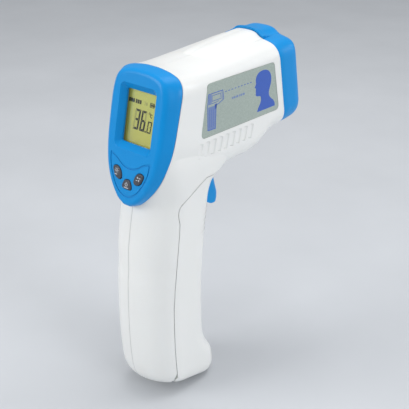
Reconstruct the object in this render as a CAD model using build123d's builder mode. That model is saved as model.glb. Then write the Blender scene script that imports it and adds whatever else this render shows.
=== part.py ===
from build123d import *
import os
from math import sin, cos, radians, sqrt

# Pistol-grip infrared forehead thermometer, in millimetres.
# Frame: X = user's right, +Y = toward the sensor nose, +Z = up (top of barrel).
# X = 0 is the clamshell parting plane; Z = 0 is the lowest point of the foot.

os.makedirs("parts", exist_ok=True)

# ===========================================================================
# SHARED DIMENSIONS
# ===========================================================================
WALL = 1.9                                        # housing wall
GAP = 0.2                                         # gap between the door and the housing

# Display face, rear seam (bezel / housing) and front seam (nose cap / housing):
# lean from vertical in degrees, and the point where each plane crosses X = 0
FACE_TILT, FACE_Y, FACE_Z = 12.0, -38.73, 157.36
SEAM_TILT, SEAM_Y, SEAM_Z = 14.0, -32.0, 156.7
NOSE_TILT, NOSE_Y, NOSE_Z = 10.4, 30.93, 156.98

BASE_Y, BASE_Z, BASE_SLOPE = -8.0, 0.3, 0.243     # sloping butt of the grip
FLOOR = 2.0                                       # thickness of the butt

HINGE, HINGE_R = (-34.5, 10.2), 1.0               # battery door hinge pin (y, z)
HINGE_Y, HINGE_Z = HINGE
KNUCKLE_R = 2.4                                   # round of the lugs and door knuckles
TRIG_PIVOT, TRIG_R = (-6.0, 118.0), 1.0           # trigger pivot pin (y, z)
TRIG_Y, TRIG_Z = TRIG_PIVOT
SLOT_HW = 7.2                                     # half width of the trigger slot
TRIG_HW = 6.8                                     # half width of the trigger
SWITCH_Z = 104.0                                  # height of the trigger switch

SENSOR_Z = 141.0                                  # optical axis height

# Heights are drawn from a datum 1 mm under the foot. LIFT places every sketch
# plane so that Z = 0 is the lowest point of the finished object.
LIFT = -1.0

ARC = 0.5523                                      # Bezier handle ratio of a quarter round

# ===========================================================================
# PLANES
# ===========================================================================
FACE_NORMAL = Vector(0, -cos(radians(FACE_TILT)), sin(radians(FACE_TILT)))
SEAM_NORMAL = Vector(0, -cos(radians(SEAM_TILT)), sin(radians(SEAM_TILT)))
NOSE_NORMAL = Vector(0, cos(radians(NOSE_TILT)), sin(radians(NOSE_TILT)))


def face_pl(depth):
    """Plane parallel to the display face, depth mm inside it; extrudes outward."""
    origin = Vector(0, FACE_Y, FACE_Z + LIFT) - FACE_NORMAL * depth
    return Plane(origin=origin, x_dir=(1, 0, 0), z_dir=FACE_NORMAL)


def seam_pl(back=0.0):
    """Plane of the rear seam, moved back mm to the rear."""
    origin = Vector(0, SEAM_Y, SEAM_Z + LIFT) + SEAM_NORMAL * back
    return Plane(origin=origin, x_dir=(1, 0, 0), z_dir=SEAM_NORMAL)


def nose_pl(ahead=0.0):
    """Plane of the front seam, moved ahead mm forward (local x runs to -X)."""
    origin = Vector(0, NOSE_Y, NOSE_Z + LIFT) + NOSE_NORMAL * ahead
    return Plane(origin=origin, x_dir=(-1, 0, 0), z_dir=NOSE_NORMAL)


def xz(y):
    """Cross-section plane at station y, local axes (x, z), normal -Y."""
    return Plane(origin=(0, y, LIFT), x_dir=(1, 0, 0), z_dir=(0, -1, 0))


def yz(x):
    """Side-view plane at station x, local axes (y, z), normal +X."""
    return Plane(origin=(x, 0, LIFT), x_dir=(0, 1, 0), z_dir=(1, 0, 0))


def level(z):
    """Horizontal plane at height z above the datum."""
    return Plane.XY.offset(z + LIFT)


def grip_pl(z, slope):
    """Station plane of the grip, leaning with the butt; local y = 0 at y = -28."""
    return Plane(origin=(0, -28, z + LIFT), x_dir=(1, 0, 0),
                 z_dir=Vector(0, slope, 1).normalized())


# ===========================================================================
# HELPERS
# The drawing helpers add to the sketch or line that is open where they are called.
# ===========================================================================
def disc_at(centre, radius, mode=Mode.ADD):
    with Locations(centre):
        Circle(radius, mode=mode)


def rect_at(centre, width, height):
    with Locations(centre):
        Rectangle(width, height)


def round_rect_at(centre, width, height, radius):
    with Locations(centre):
        RectangleRounded(width, height, radius)


def cross_at(centre, length, width):
    """Cross recess of a screw head."""
    with Locations(centre):
        Rectangle(length, width)
        Rectangle(width, length)


def polygon(points):
    with BuildLine(Plane.XY) as outline:
        Polyline(*points, close=True)
    make_face(outline.line.edges())


def side_prism(points, half_width):
    """Solid with a (y, z) outline, reaching half_width to each side of X = 0."""
    with BuildPart() as prism:
        with BuildSketch(yz(-half_width)):
            polygon(points)
        extrude(amount=2 * half_width)
    return prism.part


def save(builder, name):
    builder.part.label = name
    export_step(builder.part, f"parts/{name}.step")


def save_pin(name, centre, radius, half_length):
    """Chamfered pin along X, centred on X = 0."""
    with BuildPart() as pin:
        with BuildSketch(yz(-half_length)):
            disc_at(centre, radius)
        extrude(amount=2 * half_length)
        chamfer(pin.edges().filter_by(GeomType.CIRCLE), 0.25)
    save(pin, name)


# ===========================================================================
# LOFTED OUTER FORM (right half)
# ===========================================================================
# Grip stations: height at y = -28, slope, back y, front y, half width,
# depth of rounded back, front radius. The first five lie parallel to the butt.
GRIP = [
    (5.16, 0.243, -43.2, -10.9, 12.4, 14.0, 10.0),
    (5.61, 0.243, -44.8, -9.3, 14.0, 14.8, 10.8),
    (6.46, 0.243, -46.1, -8.0, 15.2, 15.4, 11.4),
    (7.76, 0.243, -47.2, -7.1, 16.1, 16.0, 11.8),
    (9.56, 0.243, -48.2, -6.5, 16.7, 16.4, 12.0),
    (12.2, 0.230, -49.0, -6.2, 17.0, 16.5, 12.0),
    (16.0, 0.160, -49.6, -6.7, 17.05, 16.5, 12.0),
    (20.0, 0.090, -49.9, -9.2, 17.1, 16.5, 12.0),
    (24.0, 0.035, -50.2, -12.0, 17.1, 16.5, 12.0),
    (28.5, 0.0, -50.5, -13.3, 17.1, 16.5, 12.0),
    (36.0, 0.0, -50.8, -13.8, 17.1, 16.5, 12.0),
    (46.0, 0.0, -50.9, -14.0, 17.0, 16.5, 12.0),
    (57.0, 0.0, -50.7, -13.8, 16.9, 16.5, 12.0),
    (67.0, 0.0, -50.2, -13.2, 16.9, 16.5, 12.0),
    (77.0, 0.0, -49.5, -12.3, 16.9, 16.5, 12.0),
    (85.0, 0.0, -48.7, -11.6, 16.9, 16.5, 12.0),
    (91.0, 0.0, -47.7, -10.8, 17.0, 16.6, 12.0),
    (96.0, 0.0, -46.7, -10.2, 17.1, 16.8, 12.0),
    (100.0, 0.0, -45.9, -9.8, 17.2, 17.0, 12.0),
    (103.5, 0.0, -45.7, -9.1, 17.35, 17.0, 12.0),
    (107.0, 0.0, -46.4, -7.8, 17.6, 17.0, 12.0),
    (110.0, 0.0, -47.3, -5.4, 17.95, 17.0, 12.0),
    (112.5, 0.0, -48.0, -1.5, 18.25, 17.0, 12.0),
    (116.0, 0.0, -48.9, 2.5, 18.55, 17.0, 12.0),
    (120.0, 0.0, -50.0, 2.5, 18.65, 17.0, 12.0),
    (124.0, 0.0, -51.2, 0.5, 18.2, 17.0, 12.0),
    (128.0, 0.0, -52.4, -1.0, 17.4, 17.0, 12.0),
]
# Barrel stations: y, top z, half width, bottom z, bottom corner height, bottom corner width
BARREL = [
    (-62.0, 161.2, 19.1, 111.4, 24.0, 12.0),
    (-46.0, 161.5, 19.1, 111.4, 24.0, 12.0),
    (-36.0, 161.5, 19.1, 111.4, 24.0, 12.0),
    (-31.0, 161.1, 19.05, 111.4, 22.5, 11.7),
    (-26.0, 160.5, 18.9, 111.4, 19.5, 11.2),
    (-20.0, 160.4, 18.8, 111.4, 15.0, 10.6),
    (-13.0, 160.7, 18.8, 111.4, 11.5, 10.0),
    (-6.0, 161.1, 18.8, 111.4, 9.6, 9.5),
    (4.0, 161.7, 18.8, 111.5, 9.4, 9.4),
    (12.0, 162.2, 18.8, 111.7, 9.4, 9.4),
    (17.0, 162.5, 18.8, 112.4, 9.4, 9.4),
    (21.0, 162.8, 18.8, 114.2, 9.4, 9.4),
    (25.0, 163.0, 18.85, 116.7, 9.4, 9.4),
    (29.0, 163.2, 18.9, 118.4, 9.4, 9.4),
    (34.0, 163.5, 19.0, 119.4, 9.4, 9.4),
    (40.0, 163.8, 18.95, 119.9, 9.4, 9.4),
    (48.0, 164.1, 18.7, 120.4, 9.4, 9.4),
    (60.0, 164.5, 18.3, 121.0, 9.4, 9.4),
]
# Raised spine that rises out of the crown and runs forward: y, top z
SPINE = [(-9.0, 160.7), (-6.0, 161.9), (-2.0, 162.85), (3.0, 163.5), (8.0, 164.0),
         (14.0, 164.55), (20.0, 165.0), (26.0, 165.4), (32.0, 165.75), (38.0, 166.1),
         (44.0, 166.4)]


def grip_section(row, inset):
    """Right half of a grip section, inset mm inside the outer surface."""
    _, slope, back, front, half, back_r, front_r = row
    shrink = 1 / sqrt(1 + slope * slope)          # world y to distance along the plane
    back = (back + inset + 28) / shrink
    front = (front - inset + 28) / shrink
    half -= inset
    with BuildLine(Plane.XY) as outline:
        Bezier((0, back), (ARC * half, back), (half, back + back_r * (1 - ARC)),
               (half, back + back_r))
        Line((half, back + back_r), (half, front - front_r))
        Bezier((half, front - front_r), (half, front - 0.22 * front_r), (0.74 * half, front),
               (0, front))
        Line((0, front), (0, back))
    make_face(outline.line.edges())


def in_place(x, z):
    return (x, z)


def draw_barrel(top, half, bottom, corner_h, corner_w, inset=0.0, place=in_place):
    """Right half of the barrel outline; place maps (x, z) onto the sketch."""
    shoulder = 13.5 - inset
    Bezier(place(0, top), place(5.0, top), place(10.0, top - 0.7), place(shoulder, top - 1.7))
    Bezier(place(shoulder, top - 1.7), place(16.8 - inset, top - 2.6), place(half, top - 5.0),
           place(half, top - 10.0))
    Line(place(half, top - 10.0), place(half, bottom + corner_h))
    Bezier(place(half, bottom + corner_h), place(half, bottom + corner_h * (1 - ARC)),
           place(half - corner_w * (1 - ARC), bottom), place(half - corner_w, bottom))
    Line(place(half - corner_w, bottom), place(0, bottom))
    Line(place(0, bottom), place(0, top))


def draw_spine(top, place=in_place):
    """Right half of the spine outline, reaching down into the barrel."""
    half, root = 9.6, 154.0
    Bezier(place(0, top), place(3.4, top), place(5.2, top - 0.25), place(6.4, top - 1.1))
    Bezier(place(6.4, top - 1.1), place(7.4, top - 1.9), place(8.0, top - 2.6),
           place(half, top - 3.1))
    Line(place(half, top - 3.1), place(half, root))
    Line(place(half, root), place(0, root))
    Line(place(0, root), place(0, top))


def barrel_section(row, inset):
    """Right half of a barrel section, inset mm inside the outer surface."""
    _, top, half, bottom, corner_h, corner_w = row
    with BuildLine(Plane.XY) as outline:
        draw_barrel(top - inset, half - inset, bottom + inset, corner_h - 0.5 * inset,
                    corner_w - 0.5 * inset, inset)
    make_face(outline.line.edges())


def grip_loft(rows, inset=0.0):
    with BuildPart() as solid:
        for row in rows:
            with BuildSketch(grip_pl(row[0], row[1])):
                grip_section(row, inset)
        loft()
    return solid.part


def barrel_loft(inset=0.0):
    with BuildPart() as solid:
        for row in BARREL:
            with BuildSketch(xz(row[0])):
                barrel_section(row, inset)
        loft()
    return solid.part


grip_half = grip_loft(GRIP)
grip_core = grip_loft(GRIP[1:-2], WALL)
barrel_half = barrel_loft()
barrel_core = barrel_loft(WALL)

with BuildPart() as spine_half:
    for y, top in SPINE:
        with BuildSketch(xz(y)):
            with BuildLine():
                draw_spine(top)
            make_face()
    loft()

# Everything behind the rear seam, stopping below the chin of the bezel
CHIN_Z = 98.0
with BuildPart() as rear_cut:
    with BuildSketch(seam_pl()):
        Rectangle(90, 200)
    extrude(amount=60)
    with BuildSketch(level(CHIN_Z)):
        rect_at((0, -50), 120, 140)
    extrude(amount=-120, mode=Mode.SUBTRACT)

# Everything ahead of the front seam
with BuildPart() as front_cut:
    with BuildSketch(nose_pl()):
        Rectangle(90, 200)
    extrude(amount=60)

with BuildPart() as shell_half:
    add(grip_half)
    add(barrel_half)
    add(spine_half.part)
    add(rear_cut.part, mode=Mode.SUBTRACT)
    add(front_cut.part, mode=Mode.SUBTRACT)

# Everything below the inner face of the butt
floor_cut = side_prism(
    [(-80, BASE_Z + FLOOR + (BASE_Y + 80) * BASE_SLOPE),
     (20, BASE_Z + FLOOR + (BASE_Y - 20) * BASE_SLOPE),
     (20, -40), (-80, -40)], 40)

with BuildPart() as shell_core:
    add(grip_core)
    add(barrel_core)
    add(floor_cut, mode=Mode.SUBTRACT)


# ===========================================================================
# OPENINGS IN THE HOUSING
# ===========================================================================
# Rear edge of the battery door in side view, from below the foot upward (y, z)
DOOR_EDGE = [(-35.2, -20.0), (-35.2, 6.9), (-36.8, 15.0), (-37.4, 21.0), (-38.0, 30.0),
             (-38.2, 41.0), (-38.0, 52.0), (-37.2, 62.0), (-36.0, 72.0), (-34.9, 81.6),
             (-34.1, 88.0), (-33.6, 94.0)]


def door_block(inset):
    """Space of the battery door, pulled in by inset along the seam."""
    edge = [(y + inset, z) for y, z in DOOR_EDGE]
    corner = (-31.8 + 0.5 * inset, 103.2 - inset)
    with BuildPart() as block:
        with BuildSketch(yz(-30)):
            with BuildLine(Plane.XY) as outline:
                Polyline(*edge)
                Bezier(edge[-1], (-34.6 + inset, 98.0), (-34.3 + inset, 101.2 - 0.4 * inset),
                       corner)
                Polyline(corner, (-17.6 + 0.5 * inset, 111.4 - inset),
                         (-5.6 - inset, 111.4 - inset), (-5.6 - inset, 108.6),
                         (20, 104.0), (20, -20), edge[0])
            make_face(outline.line.edges())
        extrude(amount=60)
    return block.part


door_zone = door_block(0.0)                       # what the housing gives up
door_zone_in = door_block(GAP)                    # what the door fills

# V notch in the housing at the hinge
foot_notch = side_prism([(-36.8, 15.2), (-39.3, 5.0), (-30, 0), (-30, 15.2)], 30)

trigger_slot = side_prism([(-20, 88.6), (20, 88.6), (20, 104), (2.4, 110), (2.4, 118),
                           (-20, 118)], SLOT_HW)

# Label recess in the right flank of the barrel, and the label that lies in it (y, z)
LABEL = [(-22.0, 130.4), (32.0, 130.4), (27.2, 154.0), (-17.8, 154.0)]
LABEL_CORNER_R = 2.0
LABEL_X = 18.42                                   # floor of the recess
with BuildPart() as label_recess:
    with BuildSketch(yz(LABEL_X)):
        polygon(LABEL)
        fillet(vertices(), LABEL_CORNER_R)
    extrude(amount=1.2)
with BuildPart() as label_right:
    with BuildSketch(yz(LABEL_X + 0.01)):
        polygon(LABEL)
        fillet(vertices(), LABEL_CORNER_R)
        offset(amount=-0.08)
    extrude(amount=0.33)
save(label_right, "label_right")

# Slanted grooves in a row under the label
RIB_COUNT, RIB_PITCH, RIB_Y0 = 9, 4.25, -22.6
with BuildPart() as rib_tools:
    for i in range(RIB_COUNT):
        rib_y = RIB_Y0 + i * RIB_PITCH
        with BuildSketch(Plane(origin=(18.8, rib_y - 0.55, 121.9 + LIFT), x_dir=(1, 0, 0),
                               z_dir=Vector(0, 0.24, 1).normalized())):
            Ellipse(0.42, 1.15)
        extrude(amount=6.6)

# ===========================================================================
# HOUSING HALVES
# ===========================================================================
# Clamshell screws (y, z)
SCREWS = [(15.5, 127.5), (15.5, 155.6), (-16.5, 155.2), (-40.0, 92.0), (-42.0, 24.0)]
SCREW_BOSS_R = 3.4
SCREW_PILOT_R = 1.25                              # right half, blind
SCREW_CLEAR_R = 1.5                               # left half, through
SCREW_SINK_R = 2.7                                # left half, for the head
SCREW_SINK_X = -8.0                               # floor of the head sink

with BuildPart() as bosses:
    for screw in SCREWS:
        with BuildSketch(yz(0.0)):
            disc_at(screw, SCREW_BOSS_R)
        extrude(amount=19)
    with BuildSketch(yz(7.6)):                    # trigger pin boss
        disc_at(TRIG_PIVOT, 3.2)
    extrude(amount=11)
    for rail_y in (23.1, 27.7):                   # rails that hold the sensor bracket
        with BuildSketch(yz(15.6)):
            rect_at((rail_y, SENSOR_Z), 2.0, 24)
        extrude(amount=2.6)
    for ledge_y in (-26.2, -22.7):                # ledges that hold the trigger board
        with BuildSketch(yz(9.0)):
            rect_at((ledge_y, 108.0), 1.7, 7.0)
        extrude(amount=9.0)
    add(shell_half.part, mode=Mode.INTERSECT)

# Lug that carries the hinge pin, reaching forward from the back of the grip
with BuildPart() as hinge_lug:
    with BuildSketch(yz(8.0)):
        disc_at(HINGE, KNUCKLE_R)
        rect_at((HINGE_Y - 4.5, HINGE_Z + 0.6), 9.0, 3.6)
        disc_at(HINGE, HINGE_R + 0.04, mode=Mode.SUBTRACT)
    extrude(amount=3.4)
    add(shell_half.part, mode=Mode.INTERSECT)

# Right half before the label recess; the left half is its mirror image
with BuildPart() as housing_half:
    add(shell_half.part)
    add(shell_core.part, mode=Mode.SUBTRACT)
    add(bosses.part)
    add(door_zone, mode=Mode.SUBTRACT)
    add(foot_notch, mode=Mode.SUBTRACT)
    add(trigger_slot, mode=Mode.SUBTRACT)
    add(hinge_lug.part)
    add(rib_tools.part, mode=Mode.SUBTRACT)
    for screw in SCREWS:
        with BuildSketch(yz(0.0)):
            disc_at(screw, SCREW_PILOT_R)
        extrude(amount=11.5, mode=Mode.SUBTRACT)
    with BuildSketch(yz(0.0)):
        disc_at(TRIG_PIVOT, TRIG_R + 0.03)
    extrude(amount=12.5, mode=Mode.SUBTRACT)

with BuildPart() as housing_left:
    add(housing_half.part)
    mirror(about=Plane.YZ, mode=Mode.REPLACE)
    for screw in SCREWS:
        with BuildSketch(yz(0.0)):
            disc_at(screw, SCREW_CLEAR_R)
        extrude(amount=-20, mode=Mode.SUBTRACT)
        with BuildSketch(yz(SCREW_SINK_X)):
            disc_at(screw, SCREW_SINK_R)
        extrude(amount=-14, mode=Mode.SUBTRACT)
save(housing_left, "housing_left")

with BuildPart() as housing_right:
    add(housing_half.part)
    add(label_recess.part, mode=Mode.SUBTRACT)
save(housing_right, "housing_right")

with BuildPart() as housing_screws:
    for screw in SCREWS:
        with BuildSketch(yz(SCREW_SINK_X - 0.05)):    # head
            disc_at(screw, 2.45)
        extrude(amount=-2.0)
        with BuildSketch(yz(SCREW_SINK_X - 0.1)):     # shank
            disc_at(screw, 1.2)
        extrude(amount=18.4)
        with BuildSketch(yz(SCREW_SINK_X - 2.05)):
            cross_at(screw, 2.6, 0.55)
        extrude(amount=1.1, mode=Mode.SUBTRACT)
save(housing_screws, "housing_screws")

# ===========================================================================
# BATTERY DOOR (front of the grip)
# ===========================================================================
RIDGE_COUNT, RIDGE_PITCH, RIDGE_Z0 = 5, 2.8, 83.6
RIDGE_H = 1.4                                     # height of one ridge
RIDGE_RISE = 0.42                                 # how far the ridges stand forward
DOOR_CLEAR_X = 14.8                               # half width kept free past the cells

# The grip form carried forward, so the ridges fade out toward the sides
ridge_form = grip_loft([(z, slope, back, front + RIDGE_RISE, half - 0.05, back_r, front_r)
                        for z, slope, back, front, half, back_r, front_r in GRIP[12:22]])
with BuildPart() as ridges:
    for i in range(RIDGE_COUNT):
        with BuildSketch(level(RIDGE_Z0 + i * RIDGE_PITCH - RIDGE_H / 2)):
            rect_at((10, -14.0), 20.0, 19.0)
        extrude(amount=RIDGE_H)
    add(ridge_form, mode=Mode.INTERSECT)

# Round about the hinge pin, on the inside of the side wall
with BuildPart() as door_knuckle:
    with BuildSketch(yz(11.8)):
        disc_at(HINGE, KNUCKLE_R)
    extrude(amount=4.6)
    add(grip_half, mode=Mode.INTERSECT)

with BuildPart() as door_half:
    add(grip_half)
    add(ridges.part)
    add(shell_core.part, mode=Mode.SUBTRACT)
    add(door_zone_in, mode=Mode.INTERSECT)
    # inner lobes behind the cells cut back, so the door swings clear of them
    with BuildSketch(yz(0.0)):
        rect_at((-30.0, 46.75), 20.0, 70.5)
    extrude(amount=DOOR_CLEAR_X, mode=Mode.SUBTRACT)
    add(door_knuckle.part)
    # clearance around the housing lugs
    with BuildSketch(yz(0.0)):
        rect_at((HINGE_Y - 3.0, HINGE_Z - 3.0), 11.6, 14.0)
    extrude(amount=11.7, mode=Mode.SUBTRACT)
    with BuildSketch(yz(0.0)):
        disc_at(HINGE, HINGE_R + 0.05)
    extrude(amount=15.0, mode=Mode.SUBTRACT)

with BuildPart() as battery_door:
    add(door_half.part)
    mirror(about=Plane.YZ)
    add(trigger_slot, mode=Mode.SUBTRACT)
save(battery_door, "battery_door")

save_pin("door_hinge_pin", HINGE, HINGE_R, half_length=14.8)

# ===========================================================================
# DISPLAY BEZEL
# Face coordinates are (x, up) from the top of the face; depths run inward from it.
# ===========================================================================
# Right half of the seam outline, from top centre to bottom centre (x, z)
SEAM_XZ = [(0, 161.15), (4.2, 161.05), (7.4, 160.7), (10.4, 160.25), (13.4, 159.45),
           (15.7, 158.4), (17.4, 156.8), (18.5, 154.6), (18.95, 151.0), (19.0, 143.0),
           (18.95, 136.0), (18.65, 130.0), (17.6, 124.0), (16.3, 120.0), (14.7, 116.0),
           (12.8, 112.5), (11.0, 110.0), (8.4, 107.0), (6.4, 105.1), (4.3, 103.6),
           (2.2, 102.65), (0, 102.3)]
# Right half of the face outline, point for point with the seam (x, up)
FACE_OUTLINE = [(0, 3.4), (4.0, 3.3), (7.4, 2.9), (10.2, 2.2), (12.6, 1.0), (14.2, -1.0),
                (15.0, -3.6), (15.5, -7.0), (15.75, -11.0), (15.8, -17.0), (15.75, -23.0),
                (15.5, -29.0), (15.05, -33.5), (14.5, -37.0), (13.6, -40.6), (12.2, -44.2),
                (10.6, -47.2), (8.4, -50.2), (6.7, -52.1), (4.7, -53.7), (2.4, -54.8),
                (0, -55.2)]
SEAM_OUTLINE = [(x, (z - SEAM_Z) / cos(radians(SEAM_TILT))) for x, z in SEAM_XZ]
# Rounded front edge: depth below the face, inset of the outline
BEZEL_EDGE = [(2.4, 0.0), (1.25, 0.22), (0.55, 0.62), (0.18, 1.12), (0.0, 1.9)]


def half_outline(points, inset=0.0):
    """Half outline from the top centre to the bottom centre, scaled in by inset."""
    middle = 0.5 * (points[0][1] + points[-1][1])
    half_w = max(x for x, _ in points)
    half_h = 0.5 * (points[0][1] - points[-1][1])
    scaled = [(x * (half_w - inset) / half_w,
               middle + (up - middle) * (half_h - inset) / half_h) for x, up in points]
    with BuildLine(Plane.XY) as outline:
        Spline(*scaled, tangents=((1, 0), (-1, 0)))
        Line(scaled[-1], scaled[0])
    make_face(outline.line.edges())


def bezel_section(depth):
    """Outline at a depth below the face, on the straight flare to the seam."""
    section = []
    for (face_x, face_up), (seam_x, seam_up) in zip(FACE_OUTLINE, SEAM_OUTLINE):
        on_face = face_pl(0.0).from_local_coords(Vector(face_x, face_up, 0))
        on_seam = seam_pl().from_local_coords(Vector(seam_x, seam_up, 0))
        full_depth = (on_face - on_seam).dot(FACE_NORMAL)
        point = on_face + (on_seam - on_face) * (depth / full_depth)
        local = face_pl(depth).to_local_coords(point)
        section.append((local.X, local.Y))
    section[0] = (0.0, section[0][1])             # ends exactly on the mirror plane
    section[-1] = (0.0, section[-1][1])
    return section


with BuildPart() as bezel_half:
    with BuildSketch(seam_pl(0.12)):
        half_outline(SEAM_OUTLINE)
    for depth, inset in BEZEL_EDGE:
        with BuildSketch(face_pl(depth)):
            half_outline(bezel_section(depth), inset)
    loft()
with BuildPart() as bezel_core:
    with BuildSketch(seam_pl(-0.5)):
        half_outline(SEAM_OUTLINE, 1.8)
    with BuildSketch(face_pl(2.0)):
        half_outline(FACE_OUTLINE, 2.2)
    loft()

# Key outlines (x, up) and the centres of their stems
SIDE_KEY = [(3.76, -43.1), (4.25, -41.1), (5.65, -39.35), (7.7, -38.85), (9.1, -39.6),
            (8.75, -41.5), (7.55, -43.4), (6.0, -44.2), (4.5, -44.15)]
CENTRE_KEY = [(0, -43.35), (1.25, -43.5), (2.05, -44.5), (2.75, -46.3), (2.55, -47.1),
              (1.8, -47.45), (0, -47.5), (-1.8, -47.45), (-2.55, -47.1), (-2.75, -46.3),
              (-2.05, -44.5), (-1.25, -43.5)]
KEYS = {
    "right": (SIDE_KEY, (6.5, -41.6)),
    "left": ([(-x, up) for x, up in SIDE_KEY], (-6.5, -41.6)),
    "center": (CENTRE_KEY, (0.0, -45.6)),
}

# Crescent groove around the keys: edges from X = 0 to the right tip (x, up)
GROOVE_OUTER = (
    [(0, -38.05), (2.8, -37.75), (5.4, -36.65), (7.9, -34.95), (9.8, -34.1), (12.0, -33.5)],
    [(0, -51.1), (2.9, -50.6), (6.38, -48.12), (9.62, -43.35), (11.75, -37.7), (12.0, -33.5)])
GROOVE_INNER = (
    [(0, -38.7), (2.8, -38.4), (5.4, -37.3), (7.9, -35.6), (9.8, -34.8), (11.3, -34.4)],
    [(0, -50.4), (2.65, -49.9), (5.9, -47.6), (9.0, -43.1), (11.1, -37.6), (11.3, -34.4)])
GROOVE_DEPTH = 0.24


def key_outline(points, grow=0.0):
    """Rounded key outline, grown about its centre."""
    mid_x = sum(x for x, _ in points) / len(points)
    mid_up = sum(up for _, up in points) / len(points)
    grown = []
    for x, up in points:
        reach = sqrt((x - mid_x) ** 2 + (up - mid_up) ** 2)
        scale = (reach + grow) / reach
        grown.append((mid_x + (x - mid_x) * scale, mid_up + (up - mid_up) * scale))
    with BuildLine(Plane.XY) as outline:
        Spline(*grown, periodic=True)
    make_face(outline.line.edges())


def crescent(upper, lower, mode=Mode.ADD):
    """Face between two edges given from X = 0 to the right tip."""
    with BuildLine(Plane.XY) as outline:
        for edge in (upper, lower):
            Spline(*[(-x, up) for x, up in reversed(edge[1:])], *edge)
    make_face(outline.line.edges(), mode=mode)


ABOVE_FACE = -0.02                                # cutters start just outside the face
WINDOW_OPENING = (17.5, 22.9, 0.8)                # width, height, corner radius
WINDOW_CENTRE = (0, -16.85)
BOARD_SCREWS = [(-10.2, -34.0), (10.2, -34.0), (-8.0, 0.4), (8.0, 0.4)]
POST_END = 10.75                                  # depth the board posts reach

with BuildPart() as display_bezel:
    add(bezel_half.part)
    add(bezel_core.part, mode=Mode.SUBTRACT)
    mirror(about=Plane.YZ)
    # thickened frame behind the display recess
    with BuildSketch(face_pl(3.4)):
        round_rect_at((0, -16.8), 26.0, 31.6, 2.5)
    extrude(amount=1.9)
    # posts for the board screws
    for post in BOARD_SCREWS:
        with BuildSketch(face_pl(POST_END)):
            disc_at(post, 1.9)
        extrude(amount=9.0)
        with BuildSketch(face_pl(POST_END)):
            disc_at(post, 0.8)
        extrude(amount=5.5, mode=Mode.SUBTRACT)
    # chamfered recess and window opening
    with BuildSketch(face_pl(ABOVE_FACE)):
        round_rect_at((0, -16.9), 21.6, 28.2, 2.6)
    with BuildSketch(face_pl(2.5)):
        round_rect_at(WINDOW_CENTRE, *WINDOW_OPENING)
    loft(mode=Mode.SUBTRACT)
    with BuildSketch(face_pl(2.4)):
        round_rect_at(WINDOW_CENTRE, *WINDOW_OPENING)
    extrude(amount=-3.0, mode=Mode.SUBTRACT)
    with BuildSketch(face_pl(ABOVE_FACE)):
        crescent(*GROOVE_OUTER)
        crescent(*GROOVE_INNER, mode=Mode.SUBTRACT)
    extrude(amount=ABOVE_FACE - GROOVE_DEPTH, mode=Mode.SUBTRACT)
    # key openings
    for outline_points, _ in KEYS.values():
        with BuildSketch(face_pl(ABOVE_FACE)):
            key_outline(outline_points, 0.22)
        extrude(amount=-4.0, mode=Mode.SUBTRACT)
save(display_bezel, "display_bezel")

# ---- keys, key plungers and their switches ---------------------------------
for side, (outline_points, stem) in KEYS.items():
    with BuildPart() as key:
        with BuildSketch(face_pl(2.9)):
            key_outline(outline_points)
        extrude(amount=3.5)
        crown = key.faces().filter_by(lambda f: f.normal_at().dot(FACE_NORMAL) > 0.999)[0]
        fillet(crown.edges(), 0.45)
        with BuildSketch(face_pl(3.5)):           # retaining flange
            key_outline(outline_points, 0.42)
        extrude(amount=0.9)
        with BuildSketch(face_pl(6.0)):           # stem
            disc_at(stem, 1.4)
        extrude(amount=3.0)
    save(key, "button_" + side)

    with BuildPart() as plunger:
        with BuildSketch(face_pl(9.0)):
            disc_at(stem, 0.95)
        extrude(amount=2.98)
    save(plunger, "key_plunger_" + side)

KEY_SWITCH_BACK, KEY_SWITCH_FRONT = 10.78, 7.0    # depths of the switch bodies
with BuildPart() as key_switches:
    for _, stem in KEYS.values():
        with BuildSketch(face_pl(KEY_SWITCH_BACK)):
            round_rect_at(stem, 5.2, 3.6, 0.4)
        extrude(amount=KEY_SWITCH_BACK - KEY_SWITCH_FRONT)
        with BuildSketch(face_pl(9.7)):           # well for the plunger
            disc_at(stem, 1.05)
        extrude(amount=4.0, mode=Mode.SUBTRACT)
save(key_switches, "key_switches")

# ---- display stack ----------------------------------------------------------
with BuildPart() as display_window:
    with BuildSketch(face_pl(4.5)):
        round_rect_at((0, -16.8), 22.0, 27.4, 1.0)
    extrude(amount=1.05)
save(display_window, "display_window")

LCD_W = 22.6
with BuildPart() as lcd_panel:
    with BuildSketch(face_pl(5.7)):               # front glass
        rect_at((0, -16.6), LCD_W, 28.6)
    extrude(amount=1.1)
    with BuildSketch(face_pl(6.7)):               # shorter rear glass
        rect_at((0, -15.6), LCD_W, 26.6)
    extrude(amount=1.0)
save(lcd_panel, "lcd_panel")

LCD_CENTRE = (0, -15.0)                           # backlight and its frame
with BuildPart() as lcd_backlight:
    with BuildSketch(face_pl(9.2)):
        rect_at(LCD_CENTRE, 21.0, 22.0)
    extrude(amount=2.4)
save(lcd_backlight, "lcd_backlight")

# Open frame round the backlight
with BuildPart() as lcd_frame:
    with BuildSketch(face_pl(10.7)):
        with Locations(LCD_CENTRE):
            Rectangle(24.4, 24.4)
            Rectangle(21.2, 22.2, mode=Mode.SUBTRACT)
    extrude(amount=3.6)
save(lcd_frame, "lcd_frame")

with BuildPart() as lcd_contact_strip:
    with BuildSketch(face_pl(10.75)):
        rect_at((0, -29.75), 20.0, 1.4)
    extrude(amount=4.95)
save(lcd_contact_strip, "lcd_contact_strip")

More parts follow.
